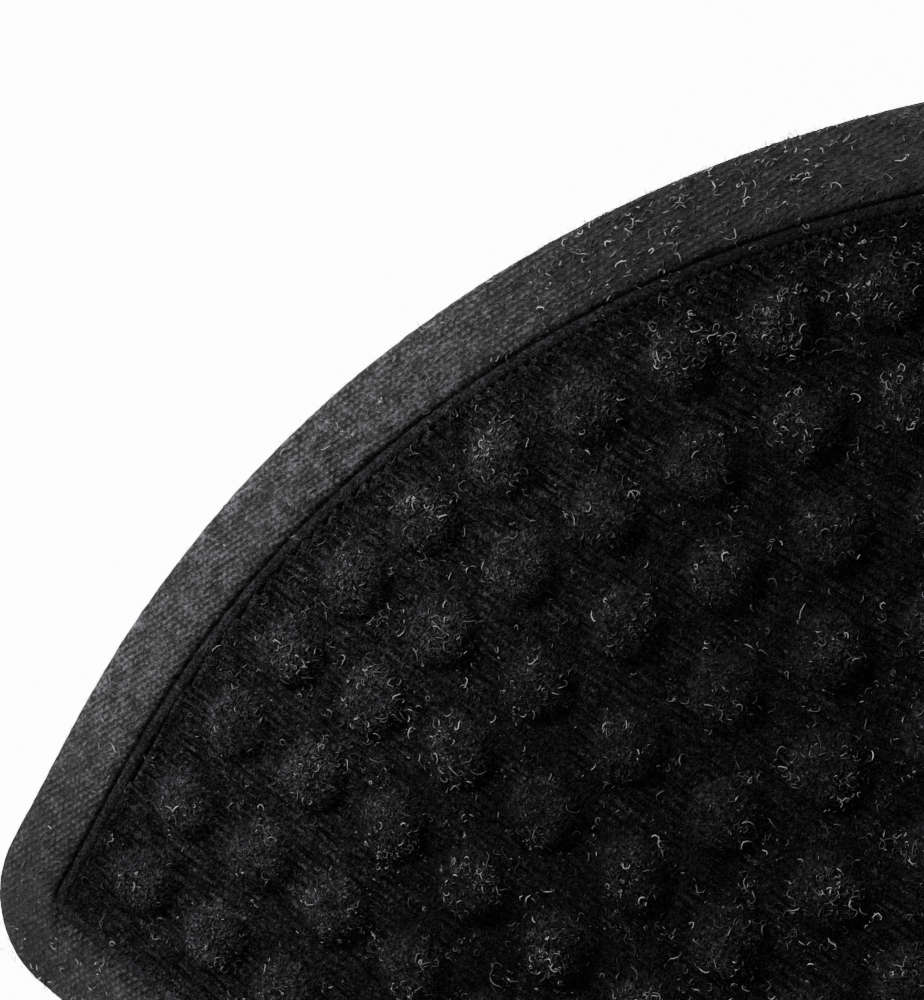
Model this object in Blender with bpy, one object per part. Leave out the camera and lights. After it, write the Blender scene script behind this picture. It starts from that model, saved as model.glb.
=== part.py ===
"""A half-round doormat, moulded in one piece of rubber.

The outline is half a circle carried on by short straight sides to a straight
back edge with rounded corners. A bevelled border climbs from a thin lip to a
crest, steps down to a narrow ledge, and drops to the field. Round studs stand
on the field in nested arches that follow the border.

Metres, +Z up. The origin is on the floor under the middle of the outline.
+X runs along the straight edge, and +Y points to the round edge.
"""

import math

import bmesh
import bpy

# Outline
ARC_RADIUS = 0.375
SIDE_LENGTH = 0.075
CORNER_RADIUS = 0.032
ARC_STEPS = 96
CORNER_STEPS = 8

# Thickness at the thin outer lip, and the section from there to the field
LIP_HEIGHT = 0.0018
SECTION = (
    # name, width inwards, rise
    ("rounded lip", 0.0009, 0.0008),
    ("ramp", 0.0206, 0.0044),
    ("crest", 0.0031, 0.0005),
    ("step", 0.0006, -0.0022),
    ("ledge", 0.0024, 0.0000),
    ("drop", 0.0006, -0.0009),
)

# Studs: a flared side up to the shoulder, then a low crown
STUD_RADIUS = 0.0104
STUD_SHOULDER_RADIUS = 0.0076
STUD_SHOULDER_HEIGHT = 0.0030
STUD_CROWN = 0.0014
STUD_ROOT = 0.0010
STUD_SIDES = 8

# Arches of studs, with the gaps between the studs of each one from the outermost inwards
ARCH_RADIUS = 0.3262
ARCH_SPACING = 0.0296
ARCH_GAPS = (36, 32, 28, 25, 22, 19, 17, 14, 11, 8, 5)
LEG_BELOW_CENTRE = 0.0235

RUBBER_COLOUR = (0.022, 0.022, 0.024, 1.0)
RUBBER_ROUGHNESS = 0.85

ARC_CENTRE_Y = (SIDE_LENGTH - ARC_RADIUS) / 2
BACK_EDGE_Y = ARC_CENTRE_Y - SIDE_LENGTH
FIELD_HEIGHT = LIP_HEIGHT + sum(rise for _, _, rise in SECTION)


def clear_scene():
    for scene_object in list(bpy.data.objects):
        bpy.data.objects.remove(scene_object, do_unlink=True)


def new_collection(name):
    collection = bpy.data.collections.new(name)
    bpy.context.scene.collection.children.link(collection)
    return collection


def object_from(bm, name, collection):
    """Turns a finished bmesh into an object of the collection."""
    mesh = bpy.data.meshes.new(name)
    bm.to_mesh(mesh)
    bm.free()
    made = bpy.data.objects.new(name, mesh)
    collection.objects.link(made)
    return made


def arc_points(centre_x, centre_y, radius, start, end, steps):
    """Points along an arc, both ends included, with the angles in degrees."""
    points = []
    for step in range(steps + 1):
        angle = math.radians(start + (end - start) * step / steps)
        x = centre_x + radius * math.cos(angle)
        y = centre_y + radius * math.sin(angle)
        points.append((x, y))
    return points


def outline():
    """The mat's outer edge, once round from the right corner."""
    corner_x = ARC_RADIUS - CORNER_RADIUS
    corner_y = BACK_EDGE_Y + CORNER_RADIUS
    right_corner = arc_points(corner_x, corner_y, CORNER_RADIUS, -90, 0, CORNER_STEPS)
    round_edge = arc_points(0, ARC_CENTRE_Y, ARC_RADIUS, 0, 180, ARC_STEPS)
    left_corner = arc_points(-corner_x, corner_y, CORNER_RADIUS, 180, 270, CORNER_STEPS)
    return right_corner + round_edge + left_corner


def slab():
    """The mat without its studs: the outline raised to the lip, then inset band by band."""
    bm = bmesh.new()
    corners = [bm.verts.new((x, y, 0)) for x, y in outline()]
    underside = bm.faces.new(corners)
    raised = bmesh.ops.extrude_face_region(bm, geom=[underside], use_keep_orig=True)["geom"]
    top = next(part for part in raised if isinstance(part, bmesh.types.BMFace))
    bmesh.ops.translate(bm, verts=top.verts, vec=(0, 0, LIP_HEIGHT))
    bmesh.ops.recalc_face_normals(bm, faces=bm.faces)
    for _, width, rise in SECTION:
        bmesh.ops.inset_individual(
            bm, faces=[top], thickness=width, depth=rise, use_even_offset=True
        )
    return bm


def arch_places(radius, gaps):
    """Stud centres along one arch: up a straight leg, round the arc, and down the other leg."""
    arc_length = math.pi * radius
    path_length = arc_length + 2 * LEG_BELOW_CENTRE
    places = []
    for stud in range(gaps + 1):
        along = path_length * stud / gaps - LEG_BELOW_CENTRE
        if along < 0:
            places.append((-radius, ARC_CENTRE_Y + along))
        elif along > arc_length:
            places.append((radius, ARC_CENTRE_Y + arc_length - along))
        else:
            angle = math.pi - along / radius
            x = radius * math.cos(angle)
            y = ARC_CENTRE_Y + radius * math.sin(angle)
            places.append((x, y))
    return places


def stud_places():
    """Every stud centre: the nested arches, and two studs up the middle line."""
    places = []
    for arch, gaps in enumerate(ARCH_GAPS):
        places += arch_places(ARCH_RADIUS - arch * ARCH_SPACING, gaps)
    lowest = ARC_CENTRE_Y - LEG_BELOW_CENTRE
    places += [(0, lowest), (0, lowest + ARCH_SPACING)]
    return places


def add_stud(bm, x, y):
    """One round stud, whose root reaches a little below the field."""
    flare = (STUD_RADIUS - STUD_SHOULDER_RADIUS) / STUD_SHOULDER_HEIGHT
    side_height = STUD_SHOULDER_HEIGHT + STUD_ROOT
    cone = bmesh.ops.create_cone(
        bm,
        cap_ends=True,
        segments=STUD_SIDES,
        radius1=STUD_RADIUS + flare * STUD_ROOT,
        radius2=STUD_SHOULDER_RADIUS,
        depth=side_height,
    )
    middle_height = FIELD_HEIGHT - STUD_ROOT + side_height / 2
    bmesh.ops.translate(bm, verts=cone["verts"], vec=(x, y, middle_height))
    faces = {face for vert in cone["verts"] for face in vert.link_faces}
    shoulder = max(faces, key=lambda face: face.calc_center_median().z)
    bmesh.ops.poke(bm, faces=[shoulder], offset=STUD_CROWN)


def stud_blanks():
    bm = bmesh.new()
    for x, y in stud_places():
        add_stud(bm, x, y)
    return bm


def rubber():
    material = bpy.data.materials.new("moulded_rubber")
    material.use_nodes = True
    shader = material.node_tree.nodes["Principled BSDF"]
    shader.inputs["Base Color"].default_value = RUBBER_COLOUR
    shader.inputs["Roughness"].default_value = RUBBER_ROUGHNESS
    shader.inputs["Metallic"].default_value = 0.0
    material.diffuse_color = RUBBER_COLOUR
    return material


def main():
    clear_scene()
    doormat = new_collection("doormat")
    blanks = new_collection("blanks")

    studs = object_from(stud_blanks(), "stud_blanks", blanks)
    studs.hide_render = True
    studs.display_type = "WIRE"

    mat = object_from(slab(), "mat", doormat)
    mat.data.materials.append(rubber())
    mat.data.shade_smooth()
    mat.data.set_sharp_from_angle(angle=math.radians(30))
    union = mat.modifiers.new("studs", "BOOLEAN")
    union.operation = "UNION"
    union.solver = "EXACT"
    union.object = studs


main()
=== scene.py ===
"""A half-round doormat of moulded rubber with a flocked, studded field, seen close up at its round edge.

Metres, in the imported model's own frame: +X along the straight edge, +Y to the round edge, +Z up.
"""

import math
import random

import bmesh
import bpy
from mathutils import Matrix, Vector, noise


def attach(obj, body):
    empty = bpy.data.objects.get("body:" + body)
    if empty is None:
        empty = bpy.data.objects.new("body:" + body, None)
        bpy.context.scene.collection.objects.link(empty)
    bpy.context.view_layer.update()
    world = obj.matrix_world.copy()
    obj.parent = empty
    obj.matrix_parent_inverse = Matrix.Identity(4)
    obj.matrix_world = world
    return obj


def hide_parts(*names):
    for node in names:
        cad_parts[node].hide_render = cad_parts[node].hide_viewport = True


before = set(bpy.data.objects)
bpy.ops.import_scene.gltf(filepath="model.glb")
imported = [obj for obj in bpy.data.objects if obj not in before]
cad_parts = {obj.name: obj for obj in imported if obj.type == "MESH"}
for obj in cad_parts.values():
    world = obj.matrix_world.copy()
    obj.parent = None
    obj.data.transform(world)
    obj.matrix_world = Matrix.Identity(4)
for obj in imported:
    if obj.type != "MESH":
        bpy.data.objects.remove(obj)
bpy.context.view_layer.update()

MM = 0.001
scene = bpy.context.scene


# Camera
# It hangs over the mat's left half and looks down at the round edge, about 24 degrees off straight down. Its
# long lens keeps the edge's circle almost true.
CAMERA_PLACE = Vector((-87.3, 93.4, 533.6)) * MM
CAMERA_LOOKS_AT = Vector((-294.2, -16.9, 7.0)) * MM
IMAGE_UP = Vector((-0.5137, 0.8576, 0.0223))
LENS_MM = 72
NEAREST_SEEN = 0.01
FARTHEST_SEEN = 300

camera_data = bpy.data.cameras.new("close_up_camera")
camera_data.lens = LENS_MM
camera_data.clip_start = NEAREST_SEEN
camera_data.clip_end = FARTHEST_SEEN
camera = bpy.data.objects.new("close_up_camera", camera_data)
scene.collection.objects.link(camera)
back = (CAMERA_PLACE - CAMERA_LOOKS_AT).normalized()
image_right = IMAGE_UP.cross(back).normalized()
image_up = back.cross(image_right)
camera_turn = Matrix((image_right, image_up, back)).transposed().to_4x4()
camera.matrix_world = Matrix.Translation(CAMERA_PLACE) @ camera_turn
scene.camera = camera


# Floor and light
# A plain white sweep, lit so brightly that the mat leaves no shadow on it. One soft lamp stands at the
# image's upper left, so each stud is lit on that side and darkens towards its lower right.
FLOOR_REACH = 100
FLOOR_GLOW = 12.5
LAMP_POWER = 38
LAMP_SIZE = 0.84
LAMP_ASIDE = 1.32
LAMP_ABOVE = 1.02
LAMP_SHARE_LEFT = 0.76
LAMP_SHARE_UP = 0.65
SKY_STRENGTH = 0.14


def from_hex(text):
    """An sRGB hex colour as linear RGBA."""
    channels = [int(text[start:start + 2], 16) / 255 for start in (0, 2, 4)]
    linear = [c / 12.92 if c <= 0.04045 else ((c + 0.055) / 1.055) ** 2.4 for c in channels]
    return (*linear, 1.0)


def add_node(tree, kind, inputs=None, **settings):
    """Adds one shader node. Each input, by name or number, is linked to an output or set to a constant."""
    node = tree.nodes.new(kind)
    for name, value in settings.items():
        setattr(node, name, value)
    for socket, value in (inputs or {}).items():
        if isinstance(value, bpy.types.NodeSocket):
            tree.links.new(value, node.inputs[socket])
        else:
            node.inputs[socket].default_value = value
    return node


def new_material(name, roughness, specular):
    """A material with its Principled shader: (material, tree, shader)."""
    material = bpy.data.materials.new(name)
    material.use_nodes = True
    tree = material.node_tree
    shader = tree.nodes["Principled BSDF"]
    shader.inputs["Roughness"].default_value = roughness
    shader.inputs["Specular IOR Level"].default_value = specular
    return material, tree, shader


def studio():
    """The floor, the faint light of the air, and the lamp."""
    material, _, shader = new_material("white_sweep", 0.9, 0.1)
    shader.inputs["Base Color"].default_value = from_hex("F6F6F6")
    shader.inputs["Emission Color"].default_value = from_hex("FFFFFF")
    shader.inputs["Emission Strength"].default_value = FLOOR_GLOW
    bm = bmesh.new()
    bmesh.ops.create_grid(bm, x_segments=1, y_segments=1, size=FLOOR_REACH)
    mesh = bpy.data.meshes.new("floor")
    bm.to_mesh(mesh)
    bm.free()
    floor = bpy.data.objects.new("floor", mesh)
    mesh.materials.append(material)
    scene.collection.objects.link(floor)

    world = bpy.data.worlds.new("studio_air")
    world.use_nodes = True
    world.node_tree.nodes["Background"].inputs["Color"].default_value = (1, 1, 1, 1)
    world.node_tree.nodes["Background"].inputs["Strength"].default_value = SKY_STRENGTH
    scene.world = world

    to_upper_left = -image_right * LAMP_SHARE_LEFT + image_up * LAMP_SHARE_UP
    to_upper_left.z = 0
    to_upper_left.normalize()
    lamp_data = bpy.data.lights.new("soft_key", "AREA")
    lamp_data.energy = LAMP_POWER
    lamp_data.size = LAMP_SIZE
    lamp = bpy.data.objects.new("soft_key", lamp_data)
    lamp.location = CAMERA_LOOKS_AT + to_upper_left * LAMP_ASIDE + Vector((0, 0, LAMP_ABOVE))
    lamp.rotation_mode = "QUATERNION"
    lamp.rotation_quaternion = (CAMERA_LOOKS_AT - lamp.location).to_track_quat("-Z", "Y")
    scene.collection.objects.link(lamp)


studio()


# The moulding
# One piece of black rubber, pressed in a heated mould on a mesh liner that leaves its weave in the border.
# The section climbs from a thin lip to a crest and steps down to the flocked tray.
ARC_RADIUS = 375 * MM
SIDE_LENGTH = 75 * MM
CORNER_RADIUS = 32 * MM
ARC_CENTRE = Vector((0, (SIDE_LENGTH - ARC_RADIUS) / 2, 0))
BACK_EDGE_Y = ARC_CENTRE.y - SIDE_LENGTH
EDGE_POINT_SPACING = 1.6 * MM
LIP_HEIGHT = 1.7 * MM
TRAY_INSET = 25.0 * MM
# How strong the pale patches are, how far they go either way, and how dust gathers past the step. The
# patches are
# painted light with a little dust in it: they make the mat paler towards the image's left and darker towards
# its right.
PATCH_LIGHT_STRENGTH = 0.66
PATCH_LIGHT_MIDDLE = 0.2
LEAST_PATCH_LIGHT = -0.12
MOST_PATCH_LIGHT = 0.42
STEP_DUST = 0.08
DUST_REACH = 14 * MM
# How uneven the pressed top is, and how far the trimmed edge wanders
WAVE_HEIGHT = 0.10 * MM
PIT_DEPTH = 0.05 * MM
TRIM_WAVE_MM = 0.12
TRIM_NICK_MM = 0.16
# The edge wanders in the same way in each run
EDGE_SEED = 7
noise.seed_set(EDGE_SEED)
# The liner's threads, a little coarser than they are, so that they show
THREAD_PITCH = 2.02 * MM
BORDER_SECTION = (
    # name, width inwards, rise, both in mm
    ("lip turn", 0.25, 0.45),
    ("lip turn", 0.65, 0.40),
    ("ramp", 3.1, 0.75),
    ("ramp", 3.5, 0.78),
    ("ramp", 3.5, 0.76),
    ("ramp", 3.5, 0.74),
    ("ramp", 3.5, 0.70),
    ("ramp", 3.0, 0.56),
    ("crest", 1.4, 0.14),
    ("crest", 0.8, 0.00),
    ("crest edge", 0.7, -0.14),
    ("crest edge", 0.55, -0.34),
    ("crest edge", 0.35, -0.55),
    ("step", 0.25, -0.75),
    ("step foot", 0.15, -0.45),
    ("under the field", 1.2, -2.15),
)


def arc(centre_x, centre_y, radius, start, end):
    """Points along an arc at about the edge's point spacing, with the angles in degrees."""
    sweep = math.radians(end - start)
    steps = max(6, round(sweep * radius / EDGE_POINT_SPACING))
    points = []
    for step in range(steps + 1):
        angle = math.radians(start) + sweep * step / steps
        x = centre_x + radius * math.cos(angle)
        y = centre_y + radius * math.sin(angle)
        points.append(Vector((x, y, 0)))
    return points


def straight(start, end):
    """Points between two corners at the edge's point spacing, without the corners themselves."""
    steps = round((end - start).length / EDGE_POINT_SPACING)
    return [start.lerp(end, step / steps) for step in range(1, steps)]


def outline(inset):
    """The mat's outline, once round, moved inwards by inset."""
    corner = CORNER_RADIUS - inset
    corner_x = ARC_RADIUS - CORNER_RADIUS
    corner_y = BACK_EDGE_Y + CORNER_RADIUS
    right_corner = arc(corner_x, corner_y, corner, -90, 0)
    round_edge = arc(0, ARC_CENTRE.y, ARC_RADIUS - inset, 0, 180)
    left_corner = arc(-corner_x, corner_y, corner, 180, 270)
    points = right_corner + straight(right_corner[-1], round_edge[0]) + round_edge
    points += straight(round_edge[-1], left_corner[0]) + left_corner
    points += straight(left_corner[-1], right_corner[0])
    return points


def banded_slab(inset, floor_height, rim_height, section):
    """A closed slab: an outline raised to its rim, then inset band by band up and down the section."""
    bm = bmesh.new()
    lift = Vector((0, 0, floor_height))
    base = bm.faces.new([bm.verts.new(point + lift) for point in outline(inset)])
    raised = bmesh.ops.extrude_face_region(bm, geom=[base], use_keep_orig=True)["geom"]
    top = next(part for part in raised if isinstance(part, bmesh.types.BMFace))
    bmesh.ops.translate(bm, verts=top.verts, vec=(0, 0, rim_height - floor_height))
    bmesh.ops.recalc_face_normals(bm, faces=bm.faces)
    for _, width, rise in section:
        bmesh.ops.inset_individual(
            bm, faces=[top], thickness=width * MM, depth=rise * MM, use_even_offset=True
        )
    return bm


def inset_from_edge(x, y):
    """How far a place lies inside the mat's outline."""
    if y > ARC_CENTRE.y:
        return ARC_RADIUS - math.hypot(x, y - ARC_CENTRE.y)
    return min(ARC_RADIUS - abs(x), y - BACK_EDGE_Y)


def light_and_dust_at(x, y):
    """How pale the mat is at a place, around 1. Patches of painted light make it paler towards the image's
    left, and dust gathers past the step.
    """
    patch = noise.noise(Vector((5.5 * x - 4.8, 5.5 * y + 5.0, 15.9)))
    patch = min(MOST_PATCH_LIGHT, max(LEAST_PATCH_LIGHT, patch))
    past_step = inset_from_edge(x, y) - TRAY_INSET
    gathers = math.exp(-past_step / DUST_REACH) if past_step > 0 else 0.0
    return math.exp(PATCH_LIGHT_STRENGTH * (patch - PATCH_LIGHT_MIDDLE) + STEP_DUST * gathers)


def finished(bm, name, material, smooth_angle=None):
    """Turns a bmesh into a piece of the mat, with the painted light and dust that lie on it."""
    mesh = bpy.data.meshes.new(name)
    bm.to_mesh(mesh)
    bm.free()
    mesh.materials.append(material)
    if smooth_angle is not None:
        mesh.shade_smooth()
        mesh.set_sharp_from_angle(angle=math.radians(smooth_angle))
    light_and_dust = mesh.attributes.new("light_and_dust", "FLOAT", "POINT")
    light_and_dust.data.foreach_set("value", [light_and_dust_at(vert.co.x, vert.co.y) for vert in mesh.vertices])
    piece = bpy.data.objects.new(name, mesh)
    scene.collection.objects.link(piece)
    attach(piece, "root")
    return piece


def strokes(tree, place, lays):
    """Short strokes of brightness 0 to 1, in lays of a direction in degrees and a length and width in mm."""
    brightest = 0.0
    for degrees, length, width in lays:
        turned = add_node(
            tree,
            "ShaderNodeVectorRotate",
            {"Vector": place, "Angle": math.radians(-degrees)},
            rotation_type="Z_AXIS",
        ).outputs["Vector"]
        stretched = add_node(
            tree,
            "ShaderNodeVectorMath",
            {0: turned, 1: (1 / (length * MM), 1 / (width * MM), 0)},
            operation="MULTIPLY",
        ).outputs["Vector"]
        cells = add_node(
            tree, "ShaderNodeTexVoronoi", {"Vector": stretched, "Scale": 1.0}, voronoi_dimensions="2D"
        )
        body = add_node(
            tree,
            "ShaderNodeMapRange",
            {
                "Value": cells.outputs["Distance"],
                "From Min": 0.15,
                "From Max": 0.42,
                "To Min": 1.0,
                "To Max": 0.0,
            },
        ).outputs["Result"]
        own = add_node(tree, "ShaderNodeSeparateXYZ", {"Vector": cells.outputs["Color"]}).outputs["X"]
        stroke = add_node(tree, "ShaderNodeMath", {0: body, 1: own}, operation="MULTIPLY").outputs["Value"]
        brightest = add_node(
            tree, "ShaderNodeMath", {0: brightest, 1: stroke}, operation="MAXIMUM"
        ).outputs["Value"]
    return brightest


def bent(tree, place, lump_size, reach):
    """A place pushed about by a smooth noise, so that straight patterns wander. Both sizes are in mm."""
    drift = add_node(
        tree, "ShaderNodeTexNoise", {"Vector": place, "Scale": 1 / (lump_size * MM), "Detail": 1.0}
    ).outputs["Color"]
    return add_node(
        tree,
        "ShaderNodeVectorMath",
        {0: drift, 1: (reach * MM, reach * MM, 0), 2: place},
        operation="MULTIPLY_ADD",
    ).outputs["Vector"]


def toned(tree, value, stops):
    """A colour for each level of a value, between the (level, hex colour) stops."""
    low, high = stops[0][0], stops[-1][0]
    share = add_node(tree, "ShaderNodeMapRange", {"Value": value, "From Min": low, "From Max": high})
    ramp = add_node(tree, "ShaderNodeValToRGB", {"Fac": share.outputs["Result"]})
    elements = ramp.color_ramp.elements
    elements[0].color, elements[1].color = from_hex(stops[0][1]), from_hex(stops[-1][1])
    for level, colour in stops[1:-1]:
        elements.new((level - low) / (high - low)).color = from_hex(colour)
    return ramp.outputs["Color"]


def moulded_rubber():
    """Recycled black rubber, matt and greyish, with the liner's fine lattice and short strokes in it."""
    material, tree, shader = new_material("moulded_recycled_rubber", 0.85, 0.12)
    place = add_node(tree, "ShaderNodeTexCoord").outputs["Object"]
    wandering = bent(tree, place, 9.091, 0.7)
    grain = {}
    for name, lump_size, detail, roughness in (
        # lump sizes in mm
        ("patches", 16.667, 2.0, 0.5),
        ("wear", 13.333, 3.0, 0.5),
        ("crumb", 1.25, 3.0, 0.85),
        ("blotches", 5.0, 3.0, 0.5),
    ):
        grain[name] = add_node(
            tree,
            "ShaderNodeTexNoise",
            {"Vector": place, "Scale": 1 / (lump_size * MM), "Detail": detail, "Roughness": roughness},
        ).outputs["Fac"]
    spans = {}
    for name, source, low, high, new_low, new_high in (
        # each noise's own range, and the range that it is moved to
        ("lattice depth", grain["wear"], 0.35, 0.65, 0.09, 0.19),
        ("crumb", grain["crumb"], 0.2, 0.8, -0.7, 0.7),
        ("blotches", grain["blotches"], 0.3, 0.7, 0.57, 0.89),
        ("first threads", grain["patches"], 0.4, 0.6, 0.5, 1.0),
        ("second threads", grain["patches"], 0.4, 0.6, 1.0, 0.5),
    ):
        spans[name] = add_node(
            tree,
            "ShaderNodeMapRange",
            {"Value": source, "From Min": low, "From Max": high, "To Min": new_low, "To Max": new_high},
        ).outputs["Result"]
    threads = 0.0
    for raised, sunk, shows in (
        (((-3, 1.9, 0.66), (5, 1.4, 0.76)), ((1, 1.7, 0.7), (-6, 1.3, 0.8)), "first threads"),
        (((57, 2.0, 0.66), (64, 1.5, 0.76)), ((61, 1.8, 0.7), (54, 1.3, 0.8)), "second threads"),
    ):
        raised_strokes = strokes(tree, wandering, raised)
        sunk_strokes = strokes(tree, wandering, sunk)
        woven = add_node(
            tree, "ShaderNodeMath", {0: raised_strokes, 1: sunk_strokes}, operation="SUBTRACT"
        ).outputs["Value"]
        threads = add_node(
            tree, "ShaderNodeMath", {0: woven, 1: spans[shows], 2: threads}, operation="MULTIPLY_ADD"
        ).outputs["Value"]
    lattice = 0.0
    for degrees, strength in ((90, 0.55), (150, 1.35), (210, 0.6)):
        across = Vector((math.cos(math.radians(degrees)), math.sin(math.radians(degrees)), 0))
        phase = add_node(
            tree,
            "ShaderNodeVectorMath",
            {0: wandering, 1: across * (2 * math.pi / THREAD_PITCH)},
            operation="DOT_PRODUCT",
        ).outputs["Value"]
        line = add_node(tree, "ShaderNodeMath", {0: phase}, operation="COSINE").outputs["Value"]
        lattice = add_node(
            tree, "ShaderNodeMath", {0: line, 1: strength, 2: lattice}, operation="MULTIPLY_ADD"
        ).outputs["Value"]
    relief = spans["crumb"]
    for pattern, depth in ((lattice, spans["lattice depth"]), (threads, 0.4)):
        relief = add_node(
            tree, "ShaderNodeMath", {0: pattern, 1: depth, 2: relief}, operation="MULTIPLY_ADD"
        ).outputs["Value"]
    # The mat's paleness at each place scales the rubber's colour: painted light, paler towards the image's
    # left, with a little dust
    light_and_dust = add_node(tree, "ShaderNodeAttribute", attribute_name="light_and_dust").outputs["Fac"]
    skin = add_node(
        tree, "ShaderNodeMath", {0: relief, 1: 0.52, 2: spans["blotches"]}, operation="MULTIPLY_ADD"
    ).outputs["Value"]
    skin_with_light_and_dust = add_node(tree, "ShaderNodeMath", {0: skin, 1: light_and_dust}, operation="MULTIPLY").outputs["Value"]
    stops = ((0.1, "0D0C0C"), (0.45, "22201F"), (0.8, "3A393A"), (1.5, "828288"))
    tree.links.new(toned(tree, skin_with_light_and_dust, stops), shader.inputs["Base Color"])
    bump = add_node(tree, "ShaderNodeBump", {"Height": relief, "Distance": 0.5 * MM, "Strength": 1.0})
    tree.links.new(bump.outputs["Normal"], shader.inputs["Normal"])
    return material


def build_moulding():
    """The whole mat's rubber, pressed a little unevenly, with an edge that was trimmed by hand."""
    bm = banded_slab(0, 0, LIP_HEIGHT, BORDER_SECTION)
    for vert in bm.verts:
        if vert.co.z > 0.5 * MM:
            vert.co.z += WAVE_HEIGHT * noise.noise(vert.co * 60) + PIT_DEPTH * noise.noise(vert.co * 330)
        drift = noise.noise_vector(vert.co * 150) * TRIM_WAVE_MM * MM
        drift += noise.noise_vector(vert.co * 420) * TRIM_NICK_MM * MM
        vert.co.x += drift.x
        vert.co.y += drift.y
    piece = finished(bm, "moulding", moulded_rubber(), smooth_angle=50)
    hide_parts("mat")


build_moulding()


# The flocked tray
# Everything inside the step is coated with short black flock: a narrow ledge, the drop, and the field with
# its ribs and round studs. The ledge is a ring of its own here, and its inner floor lies under the field.
RIB_PITCH = 2.8 * MM
TRAY_SECTION = (
    # name, width inwards, rise, both in mm
    ("ledge", 0.5, 0.20),
    ("ledge", 1.2, 0.05),
    ("ledge", 1.2, -0.15),
    ("drop", 0.8, -0.45),
    ("drop", 0.6, -0.95),
    ("under the field", 1.2, -1.40),
)
LEDGE_HEIGHT = 5.75 * MM
TRAY_FLOOR = 2.1 * MM


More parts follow.
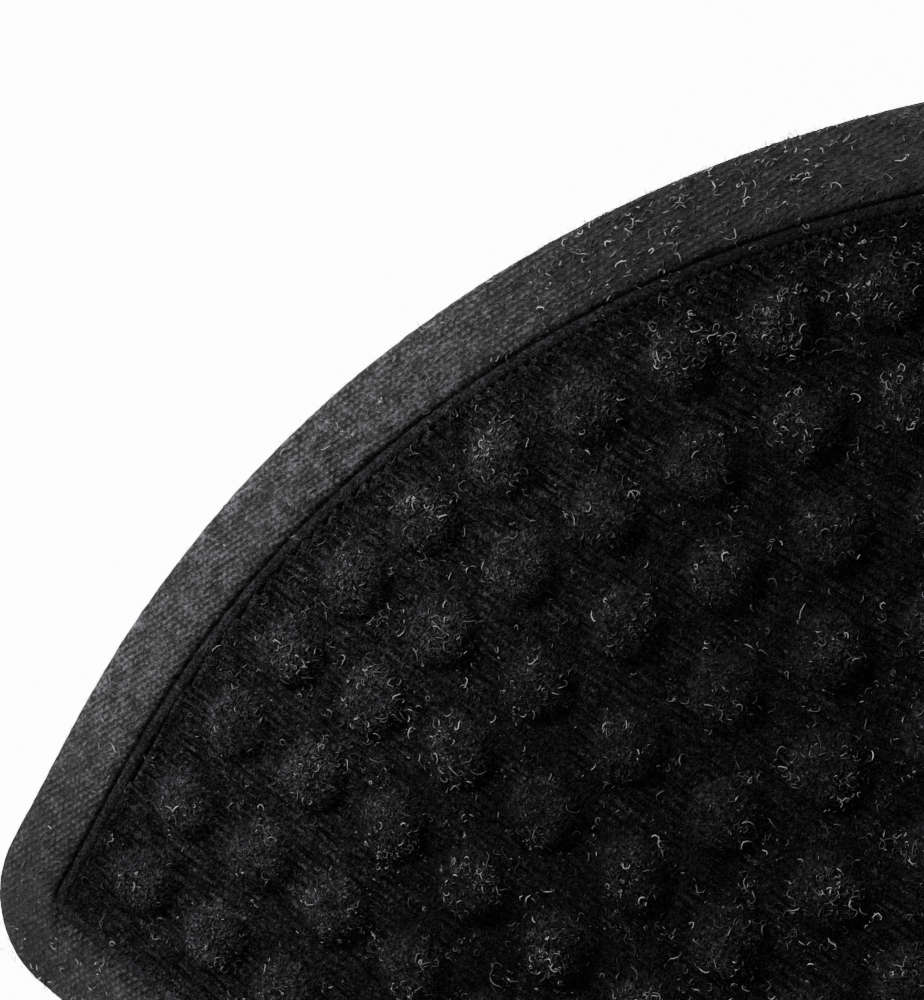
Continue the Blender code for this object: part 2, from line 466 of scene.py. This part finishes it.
def black_flock(name, depth, paleness):
    """Short black textile flock: no gloss, a felt of hairs that lie every way. Depth 1 is thick pile.

    Real hairs are far finer than these strokes, which are as coarse as it takes for the pile to show.
    """
    material, tree, shader = new_material(name, 1.0, 0.02)
    place = add_node(tree, "ShaderNodeTexCoord").outputs["Object"]
    height = add_node(tree, "ShaderNodeSeparateXYZ", {"Vector": place}).outputs["Z"]
    # The same painted light and dust pale or darken the flock's colour
    light_and_dust = add_node(tree, "ShaderNodeAttribute", attribute_name="light_and_dust").outputs["Fac"]
    curled = bent(tree, place, 3.3333, 1.7)
    first_hairs = ((12, 2.2, 0.7), (47, 2.8, 0.76), (78, 2.4, 0.66))
    last_hairs = ((109, 2.9, 0.74), (143, 2.5, 0.68), (171, 2.1, 0.78))
    hairs = strokes(tree, curled, first_hairs + last_hairs)
    pits = strokes(tree, curled, ((28, 2.2, 0.9), (92, 2.4, 0.95), (155, 2.0, 0.9)))
    strands = strokes(tree, curled, ((33, 1.9, 1.0), (98, 2.1, 1.05), (160, 1.7, 1.0)))
    # The furrows are only painted shade: they darken the colour and are not in the relief
    furrow_shade = strokes(tree, bent(tree, place, 16.667, 2.0), ((-3, 17, 1.5), (4, 12, 1.3)))
    grain = {}
    for name, lump_size, detail, roughness in (
        # lump sizes in mm
        ("clumps", 3.3333, 4.0, 0.8),
        ("matted pile", 10.0, 2.0, 0.5),
    ):
        grain[name] = add_node(
            tree,
            "ShaderNodeTexNoise",
            {"Vector": place, "Scale": 1 / (lump_size * MM), "Detail": detail, "Roughness": roughness},
        ).outputs["Fac"]
    spans = {}
    for name, source, low, high, new_low, new_high in (
        # each value's own range, and the range that it is moved to
        ("between studs", height, 4.7 * MM, 5.4 * MM, 1.0, 0.0),
        ("rib shade strength", grain["matted pile"], 0.4, 0.6, 0.09, 0.28),
        ("furrow_shade", furrow_shade, 0.4, 0.8, 0.0, -0.6),
        ("clumps", grain["clumps"], 0.32, 0.68, 1 - 0.4 * depth, 1 + 0.3 * depth),
        ("matted pile", grain["matted pile"], 0.35, 0.65, 0.9, 1.1),
        ("rubbed tops", height, 4.4 * MM, 8.0 * MM, 0.87 * paleness, 1.12 * paleness),
        ("strands", strands, 0.84, 1.0, 0.0, 1.0),
        ("worn places", height, 4.8 * MM, 7.5 * MM, 0.45 * depth, depth),
    ):
        spans[name] = add_node(
            tree,
            "ShaderNodeMapRange",
            {"Value": source, "From Min": low, "From Max": high, "To Min": new_low, "To Max": new_high},
        ).outputs["Result"]
    across_ribs = add_node(
        tree,
        "ShaderNodeVectorMath",
        {0: bent(tree, place, 25.0, 1.0), 1: (0, 2 * math.pi / RIB_PITCH, 0)},
        operation="DOT_PRODUCT",
    ).outputs["Value"]
    ribs = add_node(tree, "ShaderNodeMath", {0: across_ribs}, operation="COSINE").outputs["Value"]
    # Painted shade, between the studs only: the colour darkens in the ribs' grooves and pales on their
    # crests, and darkens along wandering furrows that the surface's shape does not have
    shades = []
    for pattern, strength in ((ribs, spans["rib shade strength"]), (spans["furrow_shade"], 1.0)):
        shown = add_node(
            tree, "ShaderNodeMath", {0: pattern, 1: spans["between studs"]}, operation="MULTIPLY"
        ).outputs["Value"]
        painted_shade = add_node(
            tree, "ShaderNodeMath", {0: shown, 1: strength, 2: 1.0}, operation="MULTIPLY_ADD"
        ).outputs["Value"]
        shades.append(painted_shade)
    # The felt's own tone is taken through all that pales or darkens it, painted light and painted shade
    # among them
    level = 0.45
    for pattern, strength in ((hairs, 0.35 + 0.4 * depth), (pits, -0.45 * depth)):
        level = add_node(
            tree, "ShaderNodeMath", {0: pattern, 1: strength, 2: level}, operation="MULTIPLY_ADD"
        ).outputs["Value"]
    for factor in (spans["clumps"], spans["matted pile"], spans["rubbed tops"], light_and_dust, *shades):
        level = add_node(
            tree, "ShaderNodeMath", {0: level, 1: factor}, operation="MULTIPLY"
        ).outputs["Value"]
    level = add_node(
        tree,
        "ShaderNodeMath",
        {0: spans["strands"], 1: spans["worn places"], 2: level},
        operation="MULTIPLY_ADD",
    ).outputs["Value"]
    stops = ((0.0, "010101"), (0.3, "131314"), (0.7, "252527"), (1.4, "505053"), (3.0, "B4B4B6"))
    tree.links.new(toned(tree, level, stops), shader.inputs["Base Color"])
    relief = hairs
    for pattern, strength in ((pits, -0.8), (grain["clumps"], 1.6)):
        relief = add_node(
            tree, "ShaderNodeMath", {0: pattern, 1: strength, 2: relief}, operation="MULTIPLY_ADD"
        ).outputs["Value"]
    bump = add_node(
        tree, "ShaderNodeBump", {"Height": relief, "Distance": 0.35 * depth * MM, "Strength": 1.0}
    )
    tree.links.new(bump.outputs["Normal"], shader.inputs["Normal"])
    return material


flock = black_flock("black_flock", 1.0, 1.0)
ledge_flock = black_flock("thin_black_flock", 0.55, 1.11)


def build_tray():
    """The flocked ledge, gently lumpy, with the drop and the floor inside it."""
    bm = banded_slab(TRAY_INSET, TRAY_FLOOR, LEDGE_HEIGHT, TRAY_SECTION)
    for vert in bm.verts:
        if vert.co.z > TRAY_FLOOR + 0.5 * MM:
            vert.co.z += 0.08 * MM * noise.noise(vert.co * 260)
    piece = finished(bm, "flocked_ledge", ledge_flock, smooth_angle=50)


build_tray()


# The field
# Fine straight ribs run along the mat under the flock, and round studs stand on nested arches. The surface
# is one height at each place, so the same function shapes the field and seats every loose fibre on it.
FIELD_HEIGHT = 4.25 * MM
RIB_HEIGHT = 0.42 * MM
BROAD_LUMP_HEIGHT = 0.40 * MM
FINE_LUMP_HEIGHT = 0.45 * MM
STUD_RADIUS = 11.4 * MM
STUD_HEIGHT = 4.5 * MM
DOME_SQUARENESS = 2.3
DOME_FULLNESS = 0.72
ARCH_RADIUS = 326.2 * MM
ARCH_SPACING = 29.6 * MM
ARCH_GAPS = (36, 32, 28, 25, 22, 19, 17, 14, 11, 8, 5)
LEG_BELOW_CENTRE = 23.5 * MM
FIELD_INSET = 27.9 * MM
FIELD_RISE = 1.3 * MM
FIELD_RISE_WIDTH = 5.0 * MM
STEP_ALONG_RIBS = 2.0 * MM
STEP_ACROSS_RIBS = RIB_PITCH / 4
# Studs are sorted into square cells of this size, to find the nearest one quickly
STUD_CELL = 30 * MM


def arch_places(radius, gaps):
    """Stud centres along one arch: up a straight leg, round the arc, and down the other leg."""
    arc_length = math.pi * radius
    path_length = arc_length + 2 * LEG_BELOW_CENTRE
    places = []
    for stud in range(gaps + 1):
        along = path_length * stud / gaps - LEG_BELOW_CENTRE
        if along < 0:
            places.append(Vector((-radius, ARC_CENTRE.y + along)))
        elif along > arc_length:
            places.append(Vector((radius, ARC_CENTRE.y + arc_length - along)))
        else:
            angle = math.pi - along / radius
            places.append(Vector((radius * math.cos(angle), ARC_CENTRE.y + radius * math.sin(angle))))
    return places


def all_studs():
    """Every stud centre, the two up the middle line included."""
    places = []
    for arch, gaps in enumerate(ARCH_GAPS):
        places += arch_places(ARCH_RADIUS - arch * ARCH_SPACING, gaps)
    lowest = ARC_CENTRE.y - LEG_BELOW_CENTRE
    return places + [Vector((0, lowest)), Vector((0, lowest + ARCH_SPACING))]


studs_by_cell = {}
for stud_place in all_studs():
    cell = (round(stud_place.x / STUD_CELL), round(stud_place.y / STUD_CELL))
    studs_by_cell.setdefault(cell, []).append(stud_place)


def to_nearest_stud(x, y):
    """Distance to the nearest stud's centre, without end where no stud is near."""
    column, row = round(x / STUD_CELL), round(y / STUD_CELL)
    nearest = math.inf
    for across in (-1, 0, 1):
        for up in (-1, 0, 1):
            for place in studs_by_cell.get((column + across, row + up), ()):
                nearest = min(nearest, math.hypot(x - place.x, y - place.y))
    return nearest


def field_height(x, y):
    """Height of the flocked surface, with its studs, ribs and lumps."""
    spot = Vector((x, y, 0))
    wobble = 1 + 0.05 * noise.noise(spot * 90)
    share = to_nearest_stud(x, y) / (STUD_RADIUS * wobble)
    rise = STUD_HEIGHT * (1 - share ** DOME_SQUARENESS) ** DOME_FULLNESS if share < 1 else 0
    away = min(1.0, max(0.0, (share - 0.6) / 0.4))
    rib = math.cos(2 * math.pi * y / RIB_PITCH)
    rib_depth = 0.55 + 0.9 * noise.noise(Vector((x * 12, y * 310, 3)))
    ribs = RIB_HEIGHT * rib * max(0.1, rib_depth) * (0.25 + 0.75 * away)
    lumps = BROAD_LUMP_HEIGHT * noise.noise(spot * 75) + FINE_LUMP_HEIGHT * noise.noise(spot * 190)
    from_edge = min(1.0, max(0.0, (inset_from_edge(x, y) - FIELD_INSET) / FIELD_RISE_WIDTH))
    edge_rise = FIELD_RISE * (1 - from_edge * from_edge * (3 - 2 * from_edge))
    return FIELD_HEIGHT + max(rise, edge_rise) + (ribs + lumps) * (0.05 + 0.95 * from_edge ** 2)


def build_field(name, low_x, high_x):
    """One half of the field: a grid trimmed under the ledge, raised to its heights, and closed below."""
    low_y = BACK_EDGE_Y + FIELD_INSET
    high_y = ARC_CENTRE.y + ARC_RADIUS - FIELD_INSET
    columns = round((high_x - low_x) / STEP_ALONG_RIBS)
    rows = round((high_y - low_y) / STEP_ACROSS_RIBS)
    depth = rows * STEP_ACROSS_RIBS
    bm = bmesh.new()
    bmesh.ops.create_grid(bm, x_segments=columns, y_segments=rows, size=0.5)
    bmesh.ops.scale(bm, verts=bm.verts, vec=(high_x - low_x, depth, 1))
    bmesh.ops.translate(bm, verts=bm.verts, vec=((low_x + high_x) / 2, low_y + depth / 2, 0))
    outside = [vert for vert in bm.verts if inset_from_edge(vert.co.x, vert.co.y) < FIELD_INSET]
    bmesh.ops.delete(bm, geom=outside, context="VERTS")
    for vert in bm.verts:
        vert.co.z = field_height(vert.co.x, vert.co.y)
    for face in bm.faces:
        face.smooth = True
    rim = [edge for edge in bm.edges if edge.is_boundary]
    skirt = bmesh.ops.extrude_edge_only(bm, edges=rim)["geom"]
    skirt_verts = [part for part in skirt if isinstance(part, bmesh.types.BMVert)]
    for vert in skirt_verts:
        vert.co.z = TRAY_FLOOR + 0.2 * MM
    bmesh.ops.edgeloop_fill(bm, edges=[part for part in skirt if isinstance(part, bmesh.types.BMEdge)])
    bmesh.ops.recalc_face_normals(bm, faces=bm.faces)
    piece = finished(bm, name, flock)


build_field("flocked_field_left", -(ARC_RADIUS - FIELD_INSET), 0)
build_field("flocked_field_right", 0, ARC_RADIUS - FIELD_INSET)


# Loose fibres
# Light grey and white waste fibres are pressed into the flock and lie in curls, hooks and short flecks. They
# gather on the studs and in drifts. Each is a fine three-sided tube laid along the surface under it.
FIBRE_SEED = 7
# The bare rubber ends at the ledge, and the curls and hooks keep to the pile inside it
LEDGE_INSET = 24.9 * MM
LEDGE_TOP = 5.9 * MM
PILE_INSET = 27.2 * MM
# Farther than any place lies inside the outline
INNERMOST = 1.0
# How high over the surface a fibre's centre line lies, so that the fibre is half pressed in
FIBRE_SEAT = 0.04 * MM
# How likely a fibre is to lie beside a stud and between studs, against 1 on a stud's top
SHARE_BESIDE_STUDS = 0.5
SHARE_BETWEEN_STUDS = 0.3
# Thinnest and thickest fibre beside the usual one, and how thin the ends are
GIRTHS = (0.7, 1.25)
END_GIRTH = 0.5
draw = random.Random(FIBRE_SEED)


def border_height(inset):
    """Height of the border's top at a distance inside the outline."""
    reached, height = 0.0, LIP_HEIGHT
    for _, width, rise in BORDER_SECTION:
        if inset < reached + width * MM:
            return height + rise * MM * (inset - reached) / (width * MM)
        reached += width * MM
        height += rise * MM
    return height


def surface_height(x, y):
    """Height of whatever lies on top at a place: the border, the ledge or the field."""
    inset = inset_from_edge(x, y)
    if inset < 0:
        return LIP_HEIGHT
    if inset < LEDGE_INSET:
        return border_height(inset)
    if inset < FIELD_INSET:
        return LEDGE_TOP
    return field_height(x, y)


def fibre_path(x, y, heading, length, turn, segments, lift):
    """A fibre's centre line: it curls by turn over its length and rises a little off the surface midway."""
    step = length / segments
    sway = draw.uniform(-0.5, 0.5)
    path = []
    for index in range(segments + 1):
        arch = math.sin(math.pi * (index / segments))
        path.append(Vector((x, y, surface_height(x, y) + FIBRE_SEAT + lift * arch)))
        heading += turn / segments * draw.uniform(-0.3, 2.1) + sway * draw.uniform(-1, 1)
        x += step * math.cos(heading)
        y += step * math.sin(heading)
    return path


def gathered(x, y):
    """Broad drifts of loose fibre on the field, around 0."""
    return noise.noise(Vector((9 * x + 9.7, 9 * y - 14.7, 14.8)))


def fibre_density(x, y):
    """How likely a fibre is to lie at a place, from 0 to 1: more on the studs' tops and in drifts."""
    spot = Vector((x, y, 0))
    drift = 0.45 + 0.7 * noise.noise(spot * 110)
    distance = to_nearest_stud(x, y)
    share = SHARE_BETWEEN_STUDS
    if distance < 0.75 * STUD_RADIUS:
        share = 1.0
    elif distance < 1.15 * STUD_RADIUS:
        share = SHARE_BESIDE_STUDS
    return share * min(1.0, max(0.05, drift)) ** 2 * min(1.0, math.exp(1.5 * gathered(x, y) - 0.5))


def scatter(count, low_inset, high_inset, density):
    """Places strewn over the mat between two distances inside its outline."""
    places = []
    while len(places) < count:
        x = draw.uniform(-ARC_RADIUS, ARC_RADIUS)
        y = draw.uniform(BACK_EDGE_Y, ARC_CENTRE.y + ARC_RADIUS)
        inside = low_inset < inset_from_edge(x, y) < high_inset
        if inside and draw.random() < density(x, y):
            places.append((x, y))
    return places


def tubes(name, paths, diameter, tones, material):
    """Fine three-sided tubes along many paths, joined in one piece, with a tone for each."""
    profile_data = bpy.data.curves.new("fibre_profile", "CURVE")
    profile_data.dimensions = "2D"
    corners = profile_data.splines.new("POLY")
    corners.points.add(2)
    for index, point in enumerate(corners.points):
        angle = 2 * math.pi * index / 3
        point.co = (diameter / 2 * math.cos(angle), diameter / 2 * math.sin(angle), 0, 1)
    corners.use_cyclic_u = True
    profile = bpy.data.objects.new("fibre_profile", profile_data)
    curve = bpy.data.curves.new(name, "CURVE")
    curve.dimensions = "3D"
    curve.bevel_mode = "OBJECT"
    curve.bevel_object = profile
    curve.use_fill_caps = True
    for path in paths:
        spline = curve.splines.new("POLY")
        spline.points.add(len(path) - 1)
        spline.points.foreach_set("co", [value for point in path for value in (*point, 1)])
        girth = draw.uniform(*GIRTHS)
        girths = [girth * END_GIRTH] + [girth] * (len(path) - 2) + [girth * END_GIRTH]
        spline.points.foreach_set("radius", girths)
    drawn = bpy.data.objects.new(name + "_curve", curve)
    scene.collection.objects.link(drawn)
    bpy.context.view_layer.update()
    finished_curve = drawn.evaluated_get(bpy.context.evaluated_depsgraph_get())
    mesh = bpy.data.meshes.new_from_object(finished_curve)
    mesh.name = name
    bpy.data.objects.remove(drawn)
    bpy.data.objects.remove(profile)
    shades = mesh.attributes.new("tone", "FLOAT", "POINT")
    each = len(mesh.vertices) // len(paths)
    shades.data.foreach_set("value", [tone for tone in tones for _ in range(each)])
    mesh.materials.clear()
    mesh.materials.append(material)
    mesh.shade_smooth()
    piece = bpy.data.objects.new(name, mesh)
    scene.collection.objects.link(piece)
    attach(piece, "root")


def waste_fibre():
    """Undyed waste fibre, cotton and polyester mixed: grey to white, dull, each strand of its own shade."""
    material, tree, shader = new_material("waste_fibre", 0.75, 0.3)
    tone = add_node(tree, "ShaderNodeAttribute", attribute_name="tone").outputs["Fac"]
    colour = toned(tree, tone, ((0.0, "323234"), (0.5, "6E6E70"), (1.0, "C2C2C4")))
    tree.links.new(colour, shader.inputs["Base Color"])
    return material


fibre_material = waste_fibre()


def strew(
    name,
    count,
    segments,
    lengths,
    turns,
    lift,
    diameter,
    tone_power,
    low_inset,
    high_inset,
    density,
    lie=(0, 360),
):
    """One kind of loose fibre, strewn over the mat. Its lengths, lift and diameter are in mm.

    It curls by a turn in radians, either way, and lies between two directions in degrees. A higher tone
    power makes more of its strands dark.
    """
    paths, tones = [], []
    for x, y in scatter(count, low_inset, high_inset, density):
        length = draw.uniform(*lengths) * MM
        turn = draw.choice((-1, 1)) * draw.uniform(*turns)
        heading = math.radians(draw.uniform(*lie))
        paths.append(fibre_path(x, y, heading, length, turn, segments, draw.uniform(*lift) * MM))
        tones.append(draw.random() ** tone_power)
    tubes(name, paths, diameter * MM, tones, fibre_material)


strew(
    "curled_fibres",
    count=5000,
    segments=6,
    lengths=(2.0, 5.0),
    turns=(1.6, 6.2),
    lift=(0.05, 0.4),
    diameter=0.37,
    tone_power=2.15,
    low_inset=PILE_INSET,
    high_inset=INNERMOST,
    density=fibre_density,
)
strew(
    "hooked_fibres",
    count=7500,
    segments=4,
    lengths=(0.9, 2.6),
    turns=(0.4, 4.2),
    lift=(0.05, 0.4),
    diameter=0.35,
    tone_power=2.5,
    low_inset=PILE_INSET,
    high_inset=INNERMOST,
    density=fibre_density,
)
strew(
    "short_flecks",
    count=15000,
    segments=1,
    lengths=(0.35, 1.1),
    turns=(0.0, 0.5),
    lift=(0.0, 0.3),
    diameter=0.36,
    tone_power=2.5,
    low_inset=LEDGE_INSET,
    high_inset=INNERMOST,
    density=fibre_density,
)


# Lint on the border
# A few of the same fibres stick to the bare rubber, thickest in one or two drifts, and a dark fuzz of flock
# hangs on the very edge, where the mould's flash was trimmed.
FUZZ_START = -0.1 * MM
FUZZ_END = 0.3 * MM


def lint_drift(x, y):
    """Broad drifts of lint on the border, around 0."""
    return noise.noise(Vector((11 * x + 11.6, 11 * y + 9.6, 18.9)))


def lint_density(x, y):
    """How likely lint is to stick at a place: in the drifts, and there in small clusters."""
    cluster = 0.2 + 2.2 * noise.noise(Vector((280 * x, 280 * y, 5.5)))
    return min(1.0, max(0.08, 0.25 + lint_drift(x, y))) * min(1.0, max(0.08, cluster))


def fuzz_density(x, y):
    """How likely fuzz is to hang on the edge at a place."""
    return min(1.0, max(0.15, 0.4 + lint_drift(x, y)))


strew(
    "border_lint",
    count=2200,
    segments=2,
    lengths=(0.7, 2.2),
    turns=(0.0, 1.2),
    lift=(0, 0.3),
    diameter=0.42,
    tone_power=2.4,
    low_inset=FUZZ_END,
    high_inset=LEDGE_INSET,
    density=lint_density,
    lie=(25, 95),
)
strew(
    "border_curls",
    count=700,
    segments=5,
    lengths=(1.6, 4.2),
    turns=(0.6, 5.0),
    lift=(0, 0.3),
    diameter=0.36,
    tone_power=2.4,
    low_inset=FUZZ_END,
    high_inset=LEDGE_INSET,
    density=lint_density,
)
strew(
    "edge_fuzz",
    count=1500,
    segments=2,
    lengths=(0.8, 2.2),
    turns=(0.0, 1.6),
    lift=(0, 0.5),
    diameter=0.22,
    tone_power=6.0,
    low_inset=FUZZ_START,
    high_inset=FUZZ_END,
    density=fuzz_density,
)
